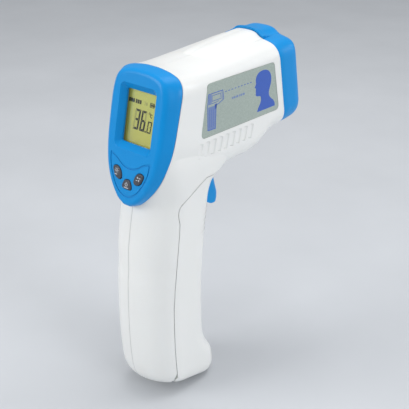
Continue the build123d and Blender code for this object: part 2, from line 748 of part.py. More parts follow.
# ---- main circuit board -------------------------------------------------------
BOARD_BACK, BOARD_T = 12.4, 1.6                   # depth of the rear side, thickness
BOARD_OUTLINE = [(-9.9, 1.8), (9.9, 1.8), (12.4, -2.0), (12.4, -35.6), (7.4, -47.6),
                 (-7.4, -47.6), (-12.4, -35.6), (-12.4, -2.0)]
with BuildPart() as main_board:
    with BuildSketch(face_pl(BOARD_BACK)):
        polygon(BOARD_OUTLINE)
        fillet(vertices(), 1.2)
        with Locations(*BOARD_SCREWS):
            Circle(0.85, mode=Mode.SUBTRACT)
    extrude(amount=BOARD_T)
save(main_board, "main_board")

with BuildPart() as board_screws:
    for screw in BOARD_SCREWS:
        with BuildSketch(face_pl(BOARD_BACK + 0.02)):     # head
            disc_at(screw, 1.5)
        extrude(amount=-1.1)
        with BuildSketch(face_pl(BOARD_BACK + 0.05)):     # shank
            disc_at(screw, 0.75)
        extrude(amount=6.4)
        with BuildSketch(face_pl(BOARD_BACK + 1.2)):
            cross_at(screw, 1.8, 0.4)
        extrude(amount=0.6, mode=Mode.SUBTRACT)
save(board_screws, "board_screws")

CHIP_CENTRE, CHIP_SIDE = (0, -14.0), 9.0
LEAD_COUNT, LEAD_PITCH, LEAD_W = 9, 0.9, 0.4
LEAD_SPAN = 11.4                                  # tip to tip across the chip
LEAD_DEPTH, LEAD_T = 12.95, 0.5
with BuildPart() as microcontroller:
    with BuildSketch(face_pl(14.0)):
        rect_at(CHIP_CENTRE, CHIP_SIDE, CHIP_SIDE)
    extrude(amount=1.3)
    chip_back = microcontroller.faces().filter_by(
        lambda f: f.normal_at().dot(FACE_NORMAL) < -0.99)[0]
    chamfer(chip_back.edges(), 0.2)
    with BuildSketch(face_pl(LEAD_DEPTH)):
        with Locations(CHIP_CENTRE):
            with GridLocations(LEAD_PITCH, 0, LEAD_COUNT, 1):
                Rectangle(LEAD_W, LEAD_SPAN)
    extrude(amount=LEAD_T)
    with BuildSketch(face_pl(LEAD_DEPTH)):
        with Locations(CHIP_CENTRE):
            with GridLocations(0, LEAD_PITCH, 1, LEAD_COUNT):
                Rectangle(LEAD_SPAN, LEAD_W)
    extrude(amount=LEAD_T)
save(microcontroller, "microcontroller")

BUZZER_CENTRE, BUZZER_BACK = (0, -29.0), 17.4
with BuildPart() as buzzer:
    with BuildSketch(face_pl(BUZZER_BACK)):
        disc_at(BUZZER_CENTRE, 5.5)
    extrude(amount=4.95)
    with BuildSketch(face_pl(BUZZER_BACK)):       # sound hole
        disc_at(BUZZER_CENTRE, 1.1)
    extrude(amount=1.2, mode=Mode.SUBTRACT)
save(buzzer, "buzzer")

# ===========================================================================
# NOSE CAP
# The barrel section carried forward, drawn in toward a softly rounded front rim
# ===========================================================================
# Stations: distance ahead of the seam, inset of the section
NOSE_STATIONS = [(-4.0, 0.0), (4.0, 0.0), (9.0, 0.12), (11.6, 0.45), (13.2, 1.1),
                 (14.2, 2.0), (14.6, 3.2)]
NOSE_SPINE_STATIONS = [(-4.0, 0.0), (6.0, 0.0), (11.0, 0.3), (13.4, 1.1), (14.55, 2.4)]
NOSE_CORNER = 9.4                                 # bottom corner height and width
MOUTH_R, MOUTH_RIM_R = 9.8, 13.6


def nose_run(ahead):
    """Distance in y from the seam to where a station is measured."""
    return ahead / cos(radians(NOSE_TILT))


def nose_place(ahead):
    """Map from (x, z) to the local axes of the tilted station plane."""
    plane_z = NOSE_Z + ahead * sin(radians(NOSE_TILT))
    return lambda x, z: (-x, (z - plane_z) / cos(radians(NOSE_TILT)))


with BuildPart() as nose_form:
    for ahead, inset in NOSE_STATIONS:
        with BuildSketch(nose_pl(ahead)):
            with BuildLine():
                draw_barrel(top=163.28 + 0.05 * nose_run(ahead) - inset,
                            half=19.0 - 0.012 * max(0.0, ahead) - inset,
                            bottom=119.72 + 0.07 * nose_run(ahead) + inset,
                            corner_h=NOSE_CORNER, corner_w=NOSE_CORNER,
                            place=nose_place(ahead))
            make_face()
    loft()
with BuildPart() as nose_spine:
    for ahead, inset in NOSE_SPINE_STATIONS:
        with BuildSketch(nose_pl(ahead)):
            with BuildLine():
                draw_spine(165.6 + 0.05 * nose_run(ahead) - inset, nose_place(ahead))
            make_face()
    loft()
with BuildPart() as nose_half:
    add(nose_form.part)
    add(nose_spine.part)
    with BuildSketch(nose_pl(0.15)):
        Rectangle(90, 200)
    extrude(amount=-30, mode=Mode.SUBTRACT)
with BuildPart() as nose_core:
    add(barrel_core)
    with BuildSketch(nose_pl(12.2)):
        Rectangle(90, 200)
    extrude(amount=40, mode=Mode.SUBTRACT)

with BuildPart() as nose_cap:
    add(nose_half.part)
    add(nose_core.part, mode=Mode.SUBTRACT)
    mirror(about=Plane.YZ)
    # round mouth for the sensor with a dished lead-in
    with BuildSketch(xz(40.0)):
        disc_at((0, SENSOR_Z), MOUTH_R)
    extrude(amount=-20, mode=Mode.SUBTRACT)
    with BuildSketch(xz(46.9)):
        disc_at((0, SENSOR_Z), MOUTH_R)
    with BuildSketch(xz(50.5)):
        disc_at((0, SENSOR_Z), MOUTH_RIM_R)
    loft(mode=Mode.SUBTRACT)
save(nose_cap, "nose_cap")

# ===========================================================================
# SENSOR
# ===========================================================================
SENSOR_AXIS = Axis((0, 0, SENSOR_Z + LIFT), (0, 1, 0))
LEADS_CIRCLE_R, LEADS = 1.7, 4                    # leads of the thermopile can

with BuildPart() as sensor_bracket:
    with BuildSketch(xz(24.5)):
        with Locations((0, SENSOR_Z)):
            RectangleRounded(33.0, 23.4, 1.0)
            Circle(8.2, mode=Mode.SUBTRACT)
    extrude(amount=-1.8)
save(sensor_bracket, "sensor_bracket")

# Turned profiles about the optical axis (y, radius)
SENSOR_RINGS = {
    "sensor_tube": [(26.4, 6.6), (26.4, 9.4), (46.6, 9.4), (47.2, 8.8), (47.2, 8.1),
                    (28.4, 8.1), (28.4, 6.6)],
    "sensor_cone": [(33.4, 3.0), (33.4, 8.0), (46.4, 8.0), (46.4, 7.4), (33.9, 3.0)],
    "sensor_socket": [(22.9, 2.4), (22.9, 8.0), (26.3, 8.0), (26.3, 6.4), (28.5, 6.4),
                      (28.5, 7.9), (33.3, 7.9), (33.3, 4.9), (24.4, 4.9), (24.4, 2.4)],
}
CAN_PROFILE = [(24.6, 0), (24.6, 4.7), (25.2, 4.7), (25.2, 4.1), (30.6, 4.1), (30.9, 3.8),
               (30.9, 2.4), (30.4, 2.4), (30.4, 0)]


def turned_profile(profile):
    polygon([(y, SENSOR_Z + radius) for y, radius in profile])


for name, profile in SENSOR_RINGS.items():
    with BuildPart() as ring:
        with BuildSketch(yz(0)):
            turned_profile(profile)
        revolve(axis=SENSOR_AXIS)
    save(ring, name)

with BuildPart() as thermopile_can:
    with BuildSketch(yz(0)):
        turned_profile(CAN_PROFILE)
    revolve(axis=SENSOR_AXIS)
    with BuildSketch(xz(24.6)):                   # leads, running back
        with Locations((0, SENSOR_Z)):
            with PolarLocations(LEADS_CIRCLE_R, LEADS, start_angle=45):
                Circle(0.23)
    extrude(amount=5.2)
save(thermopile_can, "thermopile_can")

with BuildPart() as sensor_filter:
    with BuildSketch(xz(30.45)):
        disc_at((0, SENSOR_Z), 2.35)
    extrude(amount=-0.5)
save(sensor_filter, "sensor_filter")

with BuildPart() as sensor_board:
    with BuildSketch(xz(21.8)):
        with Locations((0, SENSOR_Z)):
            Circle(9.5)
            with PolarLocations(LEADS_CIRCLE_R, LEADS, start_angle=45):
                Circle(0.3, mode=Mode.SUBTRACT)
    extrude(amount=1.6)
save(sensor_board, "sensor_board")

# Flat cable from the sensor board back toward the display: y, height above the axis
CABLE_PATH = [(20.1, 4.0), (10, 3.0), (-6, -1.0), (-18, 2.0), (-26.0, 4.5)]
with BuildPart() as sensor_cable:
    with BuildLine():
        cable = Spline(*[(0, y, SENSOR_Z + LIFT + rise) for y, rise in CABLE_PATH],
                       tangents=((0, -1, 0), (0, -0.978, -0.2)))
    with BuildSketch(Plane(origin=cable @ 0, x_dir=(1, 0, 0), z_dir=cable % 0)):
        Rectangle(6.0, 0.9)
    sweep()
save(sensor_cable, "sensor_cable")

# ===========================================================================
# TRIGGER
# ===========================================================================
# Finger surface (z, front y)
TRIG_FRONT = [(84.0, 1.6), (87.0, 2.9), (89.5, 3.7), (91.5, 4.1), (93.6, 4.15), (96.8, 3.3),
              (101.5, 2.0), (106.0, 0.8), (111.5, -0.7), (116.0, -1.6), (119.0, -1.9),
              (123.5, -2.2)]
with BuildPart() as trigger_form:
    # finger surface crowned across its width, rounded into the flanks
    for z, front in TRIG_FRONT:
        with BuildSketch(level(z)):
            with BuildLine():
                Polyline((0, -20), (TRIG_HW, -20), (TRIG_HW, front - 4.2))
                Bezier((TRIG_HW, front - 4.2), (TRIG_HW, front - 1.7), (5.6, front - 0.55),
                       (3.6, front - 0.2))
                Bezier((3.6, front - 0.2), (2.4, front), (1.2, front), (0, front))
                Line((0, front), (0, -20))
            make_face()
    loft()

with BuildPart() as trigger:
    with BuildSketch(yz(0)):
        with BuildLine():
            Polyline((-1.8, 118.0), (3.0, 117.0), (8.0, 104.0), (8.0, 93.0))
            Spline((8.0, 93.0), (4.4, 91.0), (2.4, 89.7), (0.2, 89.3),
                   tangents=((-1, -0.6), (-1, 0)))
            Spline((0.2, 89.3), (-4.0, 90.6), (-8.2, 95.0), (-11.0, 102.0), (-11.6, 109.0),
                   (-10.2, 118.0), tangents=((-1, 0), (0.1, 1)))
            ThreePointArc((-10.2, 118.0), (TRIG_Y, TRIG_Z + 4.2), (-1.8, 118.0))
        make_face()
    extrude(amount=TRIG_HW + 1)
    add(trigger_form.part, mode=Mode.INTERSECT)
    mirror(about=Plane.YZ)
    # nose that presses the switch
    with BuildSketch(yz(-2.0)):
        disc_at((-13.5, SWITCH_Z), 2.0)
        rect_at((-12.0, SWITCH_Z), 3.0, 4.0)
    extrude(amount=4.0)
    # hollow for the torsion spring
    with BuildSketch(yz(-2.6)):
        disc_at(TRIG_PIVOT, 3.4)
        polygon([(-9.6, 118.0), (-2.4, 118.0), (-2.4, 126.0), (-9.6, 126.0)])
        polygon([(-9.4, 118.0), (-5.2, 118.0), (-5.6, 108.0), (-9.4, 108.0)])
    extrude(amount=5.2, mode=Mode.SUBTRACT)
    # bore for the pin
    with BuildSketch(yz(-TRIG_HW - 1)):
        disc_at(TRIG_PIVOT, TRIG_R + 0.05)
    extrude(amount=2 * TRIG_HW + 2, mode=Mode.SUBTRACT)
save(trigger, "trigger")

save_pin("trigger_pin", TRIG_PIVOT, TRIG_R, half_length=12.3)

# Torsion spring coiled round the pin
TRIG_SPRING_PITCH, TRIG_SPRING_TURNS = 1.05, 3.5
with BuildPart() as trigger_spring:
    with BuildLine():
        coil = Helix(pitch=TRIG_SPRING_PITCH, height=TRIG_SPRING_PITCH * TRIG_SPRING_TURNS,
                     radius=1.75, center=(-1.84, TRIG_Y, TRIG_Z + LIFT), direction=(1, 0, 0))
    with BuildSketch(Plane(origin=coil @ 0, z_dir=coil % 0)):
        Circle(0.3)
    sweep(is_frenet=True)
save(trigger_spring, "trigger_spring")

with BuildPart() as trigger_switch:
    with BuildSketch(xz(-23.6)):
        round_rect_at((0, SWITCH_Z), 6.4, 6.4, 0.5)
    extrude(amount=-5.2)
    with BuildSketch(xz(-22.6)):                  # well for the plunger
        disc_at((0, SWITCH_Z), 1.3)
    extrude(amount=-6.0, mode=Mode.SUBTRACT)
save(trigger_switch, "trigger_switch")

with BuildPart() as trigger_switch_plunger:
    with BuildSketch(xz(-20.4)):
        disc_at((0, SWITCH_Z), 1.2)
    extrude(amount=-4.8)
    fillet(trigger_switch_plunger.faces().sort_by(Axis.Y)[-1].edges(), 0.3)
save(trigger_switch_plunger, "trigger_switch_plunger")

with BuildPart() as trigger_board:
    with BuildSketch(xz(-25.3)):
        round_rect_at((0, 107.0), 22.0, 14.0, 1.0)
    extrude(amount=-1.6)
save(trigger_board, "trigger_board")

# ===========================================================================
# POWER
# ===========================================================================
CELL_R, CELL_LEN = 7.15, 49.3                     # AA cell can
CELL_X, CELL_Y, CELL_Z0 = 7.45, -25.2, 20.6
CELL_TIP_R, CELL_TIP_H = 2.7, 1.2                 # positive tip
TRAY_Z0, TRAY_Z1 = 13.2, 80.4
TRAY_T, TRAY_BACK_Y = 1.6, -33.6
CONTACT_T = 0.5
PAD_R, UPPER_PAD_Z = 3.6, 71.2                    # raised contact pads

with BuildPart() as battery_tray:
    for z in (TRAY_Z0, TRAY_Z1 - TRAY_T):         # end plates
        with BuildSketch(level(z)):
            polygon([(-14.4, TRAY_BACK_Y), (14.4, TRAY_BACK_Y), (14.4, -24.0),
                     (10.2, -18.0), (-10.2, -18.0), (-14.4, -24.0)])
        extrude(amount=TRAY_T)
    with BuildSketch(level(TRAY_Z0)):             # back wall
        rect_at((0, TRAY_BACK_Y), 28.0, TRAY_T)
    extrude(amount=TRAY_Z1 - TRAY_Z0)
    with BuildSketch(level(TRAY_Z0)):             # centre keel between the cells
        polygon([(-2.2, -33.2), (2.2, -33.2), (0.5, -29.4), (-0.5, -29.4)])
    extrude(amount=TRAY_Z1 - TRAY_Z0)
save(battery_tray, "battery_tray")

# The left cell has its tip up; the right cell stands on its tip
for name, x, can_z, tip_z in (
        ("battery_cell_left", -CELL_X, CELL_Z0, CELL_Z0 + CELL_LEN),
        ("battery_cell_right", CELL_X, CELL_Z0 + CELL_TIP_H, CELL_Z0)):
    with BuildPart() as cell:
        with BuildSketch(level(can_z)):
            disc_at((x, CELL_Y), CELL_R)
        extrude(amount=CELL_LEN)
        fillet(cell.edges().filter_by(GeomType.CIRCLE), 0.5)
        with BuildSketch(level(tip_z)):
            disc_at((x, CELL_Y), CELL_TIP_R)
        extrude(amount=CELL_TIP_H)
    save(cell, name)

with BuildPart() as battery_contacts:
    with BuildSketch(level(TRAY_Z0 + 1.65)):      # bridging plate at the foot
        round_rect_at((0, CELL_Y), 27.0, 8.0, 1.0)
    extrude(amount=CONTACT_T)
    with BuildSketch(level(TRAY_Z0 + 2.1)):       # raised pad under the right cell
        disc_at((CELL_X, CELL_Y), PAD_R)
    extrude(amount=5.2)
    for x in (-CELL_X, CELL_X):                   # plates at the top
        with BuildSketch(level(TRAY_Z1 - 2.15)):
            round_rect_at((x, CELL_Y), 11.5, 11.0, 1.0)
        extrude(amount=CONTACT_T)
    with BuildSketch(level(UPPER_PAD_Z)):         # raised pad over the left cell
        disc_at((-CELL_X, CELL_Y), PAD_R)
    extrude(amount=TRAY_Z1 - 2.0 - UPPER_PAD_Z)
save(battery_contacts, "battery_contacts")

# Springs under the left cell and over the right cell: x, foot z, height
with BuildPart() as battery_springs:
    for x, z, height in ((-CELL_X, TRAY_Z0 + 2.62, 4.4), (CELL_X, 71.6, 5.6)):
        with BuildLine():
            coil = Helix(pitch=1.25, height=height, radius=3.7, center=(x, CELL_Y, z + LIFT))
        with BuildSketch(Plane(origin=coil @ 0, z_dir=coil % 0)):
            Circle(0.4)
        sweep(is_frenet=True)
save(battery_springs, "battery_springs")

# Path of the right wire, from the tray upward (x, y, z); the left one mirrors it
WIRE_PATH = [(5.0, -31.0, TRAY_Z1 + 0.1), (6.2, -33.0, 88.0), (6.0, -35.2, 97.0),
             (5.0, -35.6, 106.0), (4.6, -35.4, 111.0)]
with BuildPart() as battery_wires:
    for side in (-1, 1):
        with BuildLine():
            wire = Spline(*[(side * x, y, z + LIFT) for x, y, z in WIRE_PATH],
                          tangents=((0, 0, 1), (0, -0.95, 0.3)))
        with BuildSketch(Plane(origin=wire @ 0, z_dir=wire % 0)):
            Circle(0.65)
        sweep()
save(battery_wires, "battery_wires")
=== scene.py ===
# Pistol-grip infrared thermometer: materials, printed artwork, display graphics, studio.
# It stands upright along +Z. The display and keys face -Y, tilted up, the nose points to +Y,
# and the printed label lies on the +X side.
import bpy
import bmesh
import math
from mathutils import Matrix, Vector

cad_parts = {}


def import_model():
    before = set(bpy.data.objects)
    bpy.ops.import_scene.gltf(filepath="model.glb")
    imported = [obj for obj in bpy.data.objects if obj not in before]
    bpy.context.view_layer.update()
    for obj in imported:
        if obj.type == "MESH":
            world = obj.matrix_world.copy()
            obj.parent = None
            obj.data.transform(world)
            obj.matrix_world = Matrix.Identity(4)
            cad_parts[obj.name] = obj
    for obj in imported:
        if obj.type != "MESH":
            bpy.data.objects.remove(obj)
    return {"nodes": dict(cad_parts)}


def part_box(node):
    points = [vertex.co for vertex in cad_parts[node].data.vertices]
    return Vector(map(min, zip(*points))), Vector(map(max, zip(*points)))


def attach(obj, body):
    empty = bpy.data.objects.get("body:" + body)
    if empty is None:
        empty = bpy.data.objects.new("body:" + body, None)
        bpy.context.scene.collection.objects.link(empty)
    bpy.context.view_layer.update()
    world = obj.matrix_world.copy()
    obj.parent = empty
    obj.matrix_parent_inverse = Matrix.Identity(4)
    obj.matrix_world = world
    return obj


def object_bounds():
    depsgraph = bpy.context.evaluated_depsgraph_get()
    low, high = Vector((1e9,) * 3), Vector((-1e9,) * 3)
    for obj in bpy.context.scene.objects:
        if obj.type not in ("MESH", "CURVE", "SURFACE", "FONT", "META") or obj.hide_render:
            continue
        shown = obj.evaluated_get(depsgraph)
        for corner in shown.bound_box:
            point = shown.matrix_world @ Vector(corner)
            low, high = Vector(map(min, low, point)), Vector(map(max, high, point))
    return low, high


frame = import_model()
cad_low, cad_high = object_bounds()
scene = bpy.context.scene
scene.view_settings.view_transform = "Standard"
scene.view_settings.look = "None"

MM = 0.001                      # artwork is drawn in millimetres, the scene is in metres
NOISE_SPAN = (0.3, 0.7)         # the part of a noise texture's range that carries most of it


# ---- material helpers ------------------------------------------------------------
def srgb(*channels):
    """0-255 display colour to scene-linear, with full alpha."""
    shares = [c / 255.0 for c in channels]
    linear = [c / 12.92 if c <= 0.04045 else ((c + 0.055) / 1.055) ** 2.4 for c in shares]
    return tuple(linear) + (1.0,)


def scaled(color, factor):
    """The colour made darker or lighter, held at 1."""
    return tuple(min(1.0, c * factor) for c in color[:3]) + (1.0,)


class Mat:
    """A material under construction; each method adds a node and returns its output."""

    INPUTS = {
        "color": "Base Color", "roughness": "Roughness", "metallic": "Metallic",
        "normal": "Normal", "specular": "Specular IOR Level", "ior": "IOR",
        "coat": "Coat Weight", "coat_roughness": "Coat Roughness",
        "subsurface": "Subsurface Weight", "subsurface_scale": "Subsurface Scale",
        "subsurface_radius": "Subsurface Radius",
        "emission": "Emission Color", "emission_strength": "Emission Strength",
    }

    def __init__(self, name):
        self.material = bpy.data.materials.new(name)
        self.material.use_nodes = True
        self.tree = self.material.node_tree
        self.bsdf = self.tree.nodes["Principled BSDF"]
        self.coords = self.node("ShaderNodeTexCoord").outputs["Object"]

    def put(self, socket, value):
        """Link the socket to another node's output, or set it to a plain value."""
        if isinstance(value, bpy.types.NodeSocket):
            self.tree.links.new(value, socket)
        else:
            socket.default_value = value

    def node(self, kind, inputs=None, **settings):
        made = self.tree.nodes.new(kind)
        for key, value in settings.items():
            setattr(made, key, value)
        for key, value in (inputs or {}).items():
            self.put(made.inputs[key], value)
        return made

    def noise(self, scale, detail=3.0, roughness=0.6, distortion=0.0, coords=None):
        return self.node("ShaderNodeTexNoise", {
            "Vector": coords or self.coords, "Scale": scale, "Detail": detail,
            "Roughness": roughness, "Distortion": distortion}).outputs["Fac"]

    def ramp(self, factor, stops, interpolation="LINEAR"):
        """Colour ramp through (position, colour) stops."""
        made = self.node("ShaderNodeValToRGB", {"Fac": factor})
        band = made.color_ramp
        band.interpolation = interpolation
        while len(band.elements) < len(stops):
            band.elements.new(0.5)
        for element, (position, color) in zip(band.elements, stops):
            element.position = position
            element.color = color
        return made.outputs["Color"]

    def tones(self, factor, low, high, within=NOISE_SPAN):
        """Run from one colour to another as the factor crosses a range."""
        return self.ramp(factor, list(zip(within, (low, high))))

    def remap(self, value, to, within=NOISE_SPAN, smooth=False):
        return self.node("ShaderNodeMapRange", {
            "Value": value, "From Min": within[0], "From Max": within[1],
            "To Min": to[0], "To Max": to[1],
        }, interpolation_type="SMOOTHSTEP" if smooth else "LINEAR").outputs["Result"]

    def calc(self, operation, *values, clamp=False):
        return self.node("ShaderNodeMath", dict(enumerate(values)), operation=operation,
                         use_clamp=clamp).outputs["Value"]

    def mix(self, factor, first, second):
        # sockets 6, 7 and output 2 are the colour ones
        return self.node("ShaderNodeMix", {"Factor": factor, 6: first, 7: second},
                         data_type="RGBA", blend_type="MIX").outputs[2]

    def bevel(self, radius):
        return self.node("ShaderNodeBevel", {"Radius": radius}, samples=4).outputs["Normal"]

    def bump(self, height, strength, distance, normal=None):
        inputs = {"Strength": strength, "Distance": distance, "Height": height}
        if normal is not None:
            inputs["Normal"] = normal
        return self.node("ShaderNodeBump", inputs).outputs["Normal"]

    def position(self):
        return self.node("ShaderNodeSeparateXYZ", {0: self.coords}).outputs

    def surface(self, **values):
        for key, value in values.items():
            self.put(self.bsdf.inputs[self.INPUTS[key]], value)
        return self.material


# ---- materials -------------------------------------------------------------------
def moulded(name, base, shadow, roughness, coat, tint, seam_shade, bevel, specular,
            subsurface=0.0, parting=False):
    """Gloss plastic: micro grain, tone drift of +-tint, handled patches, painted shade darkening
    seams and recesses.
    """
    mat = Mat(name)
    flow = mat.noise(26.0, detail=4.0, distortion=0.6)
    patches = mat.noise(70.0, detail=5.0, roughness=0.62)
    grain = mat.noise(2600.0, detail=2.0, roughness=0.5)
    peel = mat.noise(520.0, roughness=0.5)
    color = mat.tones(flow, scaled(base, 1 - tint), scaled(base, 1 + tint))
    # painted shade: where ambient occlusion finds seams, creases and recesses, the colour is
    # pulled toward the shadow colour
    occlusion = mat.node("ShaderNodeAmbientOcclusion", {"Distance": 0.0011}, samples=5)
    painted_shade_mask = mat.remap(occlusion.outputs["AO"], to=(seam_shade, 0.0), within=(0.25, 0.85), smooth=True)
    color = mat.mix(painted_shade_mask, color, shadow)
    if parting:
        # hairline at X = 0 on the -Y side, where the two housing halves meet
        place = mat.position()
        off_centre = mat.calc("ABSOLUTE", place["X"])
        line = mat.remap(off_centre, to=(0.5, 0.0), within=(0.00007, 0.00017))
        behind = mat.remap(place["Y"], to=(1.0, 0.0), within=(-0.0365, -0.0355))
        color = mat.mix(mat.calc("MULTIPLY", line, behind), color, shadow)
    gloss = mat.remap(patches, to=(roughness - 0.05, roughness + 0.07), within=(0.3, 0.72))
    normal = mat.bump(peel, strength=0.10, distance=0.00005, normal=mat.bevel(bevel))
    if subsurface:
        mat.surface(subsurface=subsurface, subsurface_scale=0.0009,
                    subsurface_radius=(1.0, 0.85, 0.7))
    return mat.surface(
        color=color, coat=coat, coat_roughness=0.12, ior=1.49, specular=specular,
        roughness=mat.calc("ADD", gloss, mat.remap(grain, to=(-0.015, 0.03))),
        normal=mat.bump(grain, strength=0.18, distance=0.000012, normal=normal))


def matt(name, base, roughness=0.55):
    """Plain matt skin with fine grain and slow tone drift."""
    mat = Mat(name)
    grain = mat.noise(1800.0)
    drift = mat.noise(60.0, detail=4.0)
    return mat.surface(
        color=mat.tones(drift, scaled(base, 0.8), scaled(base, 1.25)),
        roughness=mat.remap(grain, to=(roughness - 0.08, roughness + 0.1)),
        normal=mat.bump(grain, strength=0.25, distance=0.00003, normal=mat.bevel(0.00015)))


def key_rubber():
    """Soft charcoal key: fine matt skin, with a painted highlight making its raised edges paler
    in patches.
    """
    mat = Mat("key_skin")
    grain = mat.noise(2400.0, detail=2.0)
    drift = mat.noise(240.0, detail=4.0, roughness=0.65)
    pointiness = mat.node("ShaderNodeNewGeometry").outputs["Pointiness"]
    raised = mat.remap(pointiness, to=(0.0, 0.35), within=(0.50, 0.56), smooth=True)
    patchy = mat.remap(drift, to=(0.3, 1.0), within=(0.35, 0.7))
    # painted highlight: raised edges, found by pointiness, are mixed toward a paler grey in
    # patches
    painted_edge_highlight = mat.calc("MULTIPLY", raised, patchy, clamp=True)
    color = mat.tones(drift, srgb(46, 48, 56), srgb(62, 64, 73), within=(0.3, 0.72))
    return mat.surface(
        color=mat.mix(painted_edge_highlight, color, srgb(112, 114, 122)),
        roughness=mat.remap(grain, to=(0.40, 0.55)), coat=0.12, coat_roughness=0.3,
        normal=mat.bump(grain, strength=0.3, distance=0.00002, normal=mat.bevel(0.0002)))


def brushed(name, base, roughness, stretch):
    """Metal with streaks; stretch multiplies the streak frequency along X, Y and Z."""
    mat = Mat(name)
    mapping = mat.node("ShaderNodeMapping", {"Vector": mat.coords, "Scale": stretch})
    streaks = mat.noise(90.0, detail=4.0, coords=mapping.outputs["Vector"])
    stain = mat.remap(mat.noise(160.0), to=(0.0, 0.6))
    return mat.surface(
        color=mat.mix(stain, base, scaled(base, 0.82)), metallic=1.0,
        roughness=mat.remap(streaks, to=(roughness - 0.08, roughness + 0.14)),
        normal=mat.bump(streaks, strength=0.2, distance=0.00001, normal=mat.bevel(0.0001)))


def circuit_board():
    """Green solder mask in a brick pattern of traces, with tinned pads."""
    mat = Mat("circuit_board")
    traces = mat.node("ShaderNodeTexBrick", {
        "Vector": mat.coords, "Scale": 420.0, "Mortar Size": 0.03,
        "Color1": (1, 1, 1, 1), "Color2": (0.75, 0.75, 0.75, 1), "Mortar": (0, 0, 0, 1)})
    cells = mat.node("ShaderNodeTexVoronoi", {"Vector": mat.coords, "Scale": 260.0},
                     feature="F1")
    pads = mat.remap(cells.outputs["Distance"], to=(1.0, 0.0), within=(0.10, 0.13))
    grain = mat.noise(900.0, detail=2.0, roughness=0.55)
    mask = mat.mix(traces.outputs["Color"], srgb(24, 92, 48), srgb(10, 66, 34))
    relief = mat.calc("ADD", pads, traces.outputs["Fac"])
    return mat.surface(
        color=mat.mix(pads, mask, srgb(205, 200, 180)),
        roughness=mat.remap(grain, to=(0.28, 0.42)),
        metallic=mat.calc("MULTIPLY", pads, 0.8), coat=0.3,
        normal=mat.bump(relief, strength=0.3, distance=0.00003))


def cell_wrap():
    """Battery cell skin: colour bands along Z over the height of a cell."""
    low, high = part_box("battery_cell_left")
    bands = [(0.0, srgb(150, 152, 156)), (0.03, srgb(206, 209, 212)),
             (0.80, srgb(70, 112, 128)), (0.955, srgb(190, 192, 196))]
    mat = Mat("cell_wrap")
    height = mat.remap(mat.position()["Z"], to=(0.0, 1.0), within=(low.z, high.z))
    grain = mat.noise(300.0, detail=4.0)
    color = mat.ramp(height, bands, "CONSTANT")
    return mat.surface(
        color=mat.mix(mat.remap(grain, to=(0.0, 0.12)), color, (0.02, 0.02, 0.02, 1)),
        roughness=mat.remap(grain, to=(0.25, 0.4)), metallic=0.2,
        coat=0.4, coat_roughness=0.15,
        normal=mat.bump(grain, strength=0.1, distance=0.00003))


def label_film():
    """Grey-green printed film: fine speckle under a satin skin."""
    mat = Mat("label_film")
    speckle = mat.noise(2100.0, detail=2.0)
    drift = mat.noise(45.0)
    color = mat.tones(speckle, srgb(152, 166, 158), srgb(172, 184, 176), within=(0.32, 0.68))
    return mat.surface(
        color=mat.mix(mat.remap(drift, to=(0.0, 0.25)), color, srgb(158, 168, 164)),
        roughness=mat.remap(drift, to=(0.34, 0.46)), coat=0.2, coat_roughness=0.25,
        normal=mat.bump(speckle, strength=0.12, distance=0.00001, normal=mat.bevel(0.0001)))


def ink(name, base, roughness=0.45):
    """Flat printed colour with a fine speckle."""
    mat = Mat(name)
    speckle = mat.noise(3000.0, detail=2.0)
    return mat.surface(
        color=mat.tones(speckle, scaled(base, 0.86), base, within=(0.35, 0.65)),
        roughness=mat.remap(speckle, to=(roughness - 0.05, roughness + 0.08)),
        normal=mat.bump(speckle, strength=0.1, distance=0.000006))


def lcd_glass():
    """Yellow-green display glass with painted shade from the bezel darkening its left and right
    edges, and a faint painted glow.
    """
    mat = Mat("lcd_glass")
    place = mat.position()
    fine = mat.noise(2600.0, detail=2.0)
    slow = mat.noise(60.0)
    off_centre = mat.calc("ABSOLUTE", place["X"])
    # painted shade: the glass darkens toward its left and right edges, as if lying in the
    # bezel's shadow
    painted_edge_shade = mat.remap(off_centre, to=(0.0, 0.7), within=(0.0078, 0.0112), smooth=True)
    height = mat.remap(place["Z"], to=(0.0, 1.0), within=(0.128, 0.152))
    color = mat.tones(height, srgb(188, 185, 90), srgb(192, 195, 108), within=(0.0, 1.0))
    color = mat.mix(mat.remap(slow, to=(0.0, 0.12)), color, srgb(168, 168, 92))
    color = mat.mix(mat.remap(fine, to=(0.0, 0.06)), color, srgb(120, 122, 70))
    color = mat.mix(painted_edge_shade, color, srgb(128, 128, 66))
    # painted glow: the glass emits a little of its own colour to look brighter, though it is no
    # lamp
    return mat.surface(
        color=color, roughness=0.42, coat=0.3, coat_roughness=0.1,
        normal=mat.bump(fine, strength=0.05, distance=0.00001),
        emission=color, emission_strength=0.22)


def window_glass():
    """Thin clear acrylic: mostly see-through, with a soft reflection and hairline scuffs."""
    mat = Mat("clear_window")
    mat.tree.nodes.remove(mat.bsdf)
    clear = mat.node("ShaderNodeBsdfTransparent", {"Color": (0.985, 0.99, 0.98, 1)})
    scuffs = mat.noise(700.0, detail=4.0, roughness=0.7, distortion=1.5)
    gloss = mat.node("ShaderNodeBsdfGlossy", {
        "Roughness": mat.remap(scuffs, to=(0.03, 0.16), within=(0.45, 0.75))})
    fresnel = mat.node("ShaderNodeFresnel", {"IOR": 1.38})
    share = mat.calc("MULTIPLY", fresnel.outputs["Fac"], 0.3)
    mixed = mat.node("ShaderNodeMixShader", {0: share, 1: clear.outputs[0], 2: gloss.outputs[0]})
    mat.put(mat.tree.nodes["Material Output"].inputs["Surface"], mixed.outputs[0])
    return mat.material


def floor_material():
    mat = Mat("studio_floor")
    drift = mat.noise(9.0, roughness=0.55)
    grain = mat.noise(400.0, detail=2.0, roughness=0.55)
    return mat.surface(color=mat.tones(drift, srgb(196, 199, 203), srgb(202, 205, 209)),
                       roughness=mat.remap(grain, to=(0.6, 0.72)), specular=0.2)
